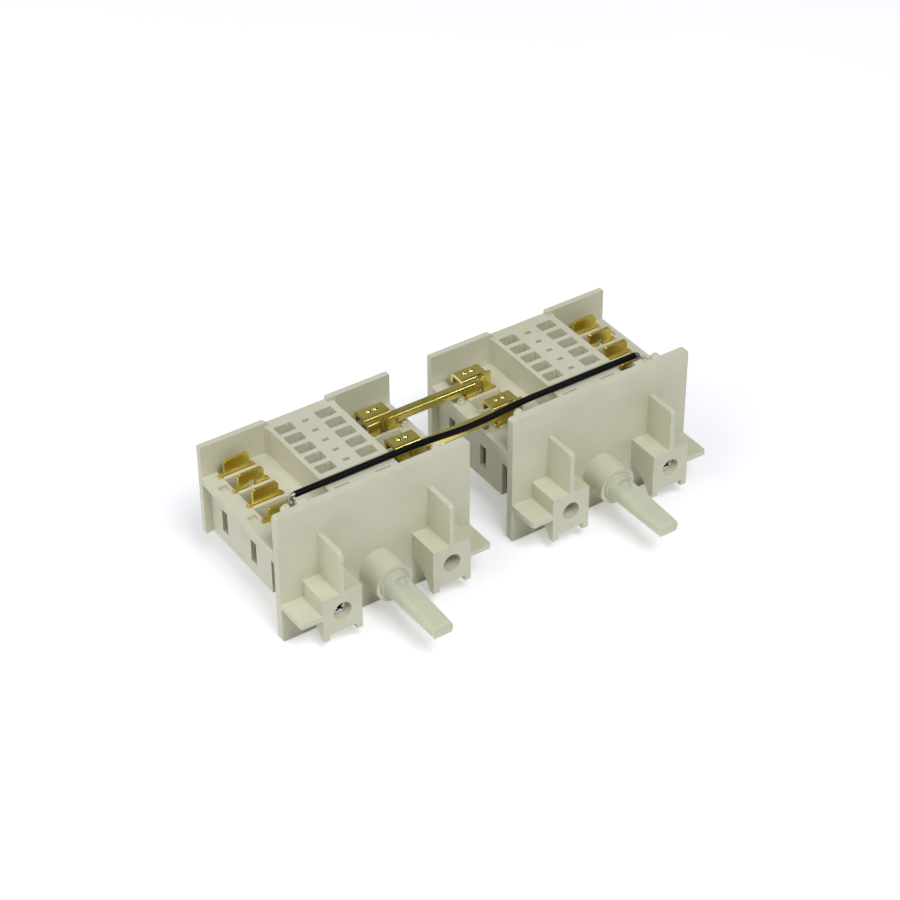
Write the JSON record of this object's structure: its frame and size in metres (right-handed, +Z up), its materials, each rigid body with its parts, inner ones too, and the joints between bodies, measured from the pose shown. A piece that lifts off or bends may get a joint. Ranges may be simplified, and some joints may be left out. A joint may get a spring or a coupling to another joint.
{
  "type": "oven selector switch",
  "caption": "Ganged rotary cam selector for an oven: two cream modules with knob shafts and upright blade terminals, joined by folded brass busbars and a black jumper wire.",
  "frame": {"origin": "middle of the footprint at floor level, midway between the two shaft axes; the shaft axes are 9.9 mm above it", "axes": "+X along the row of modules, to the right as seen from the knob side; +Y back, away from the knobs; +Z up, the side the terminals point to"},
  "size_m": [0.1088, 0.0594, 0.0337],
  "materials": {
    "plate_plastic": "moulded cream thermoset, fine matt skin",
    "housing_plastic": "moulded cream thermoset, fine matt skin",
    "cover_plastic": "moulded cream thermoset",
    "shaft_nylon": "translucent natural nylon",
    "cam_plastic": "smooth natural acetal",
    "spring_steel": "bright spring strip",
    "terminal_brass": "blanked brass sheet",
    "contact_bronze": "rolled phosphor bronze strip",
    "screw_steel": "bright zinc plated",
    "tinned_brass": "tinned brass",
    "busbar_brass": "folded brass sheet",
    "wire_insulation": "black extruded insulation",
    "tinned_copper": "tinned copper"
  },
  "bodies": {
    "switch_body": {"left_front_plate": "plate_plastic", "left_housing": "housing_plastic", "left_outer_base_cover": "cover_plastic", "left_inner_base_cover": "cover_plastic", "left_detent_spring": "spring_steel", "left_outer_terminal_1": "terminal_brass", "left_outer_terminal_2": "terminal_brass", "left_outer_terminal_3": "terminal_brass", "left_outer_terminal_4": "terminal_brass", "left_inner_terminal_2": "terminal_brass", "left_inner_terminal_4": "terminal_brass", "left_outer_contact_spring_1": "contact_bronze", "left_outer_contact_spring_2": "contact_bronze", "left_outer_contact_spring_3": "contact_bronze", "left_outer_contact_spring_4": "contact_bronze", "left_inner_contact_spring_2": "contact_bronze", "left_inner_contact_spring_4": "contact_bronze", "left_assembly_screw": "screw_steel", "left_wire_lug": "tinned_brass", "right_front_plate": "plate_plastic", "right_housing": "housing_plastic", "right_outer_base_cover": "cover_plastic", "right_inner_base_cover": "cover_plastic", "right_detent_spring": "spring_steel", "right_outer_terminal_1": "terminal_brass", "right_outer_terminal_2": "terminal_brass", "right_outer_terminal_3": "terminal_brass", "right_outer_terminal_4": "terminal_brass", "right_inner_terminal_2": "terminal_brass", "right_inner_terminal_4": "terminal_brass", "right_outer_contact_spring_1": "contact_bronze", "right_outer_contact_spring_2": "contact_bronze", "right_outer_contact_spring_3": "contact_bronze", "right_outer_contact_spring_4": "contact_bronze", "right_inner_contact_spring_2": "contact_bronze", "right_inner_contact_spring_4": "contact_bronze", "right_assembly_screw": "screw_steel", "right_wire_lug": "tinned_brass", "rear_busbar": "busbar_brass", "front_busbar": "busbar_brass", "jumper_sleeve": "wire_insulation", "jumper_core": "tinned_copper"},
    "left_rotor": {"left_shaft": "shaft_nylon", "left_cam_drum": "cam_plastic"},
    "right_rotor": {"right_shaft": "shaft_nylon", "right_cam_drum": "cam_plastic"}
  },
  "joints": [
    {"name": "left_shaft_turn", "type": "hinge", "parent": "switch_body", "child": "left_rotor", "pos_m": [-0.03, -0.00405, 0.0099], "axis": [0, 1, 0], "continuous": true},
    {"name": "right_shaft_turn", "type": "hinge", "parent": "switch_body", "child": "right_rotor", "pos_m": [0.03, -0.00405, 0.0099], "axis": [0, 1, 0], "continuous": true}
  ]
}
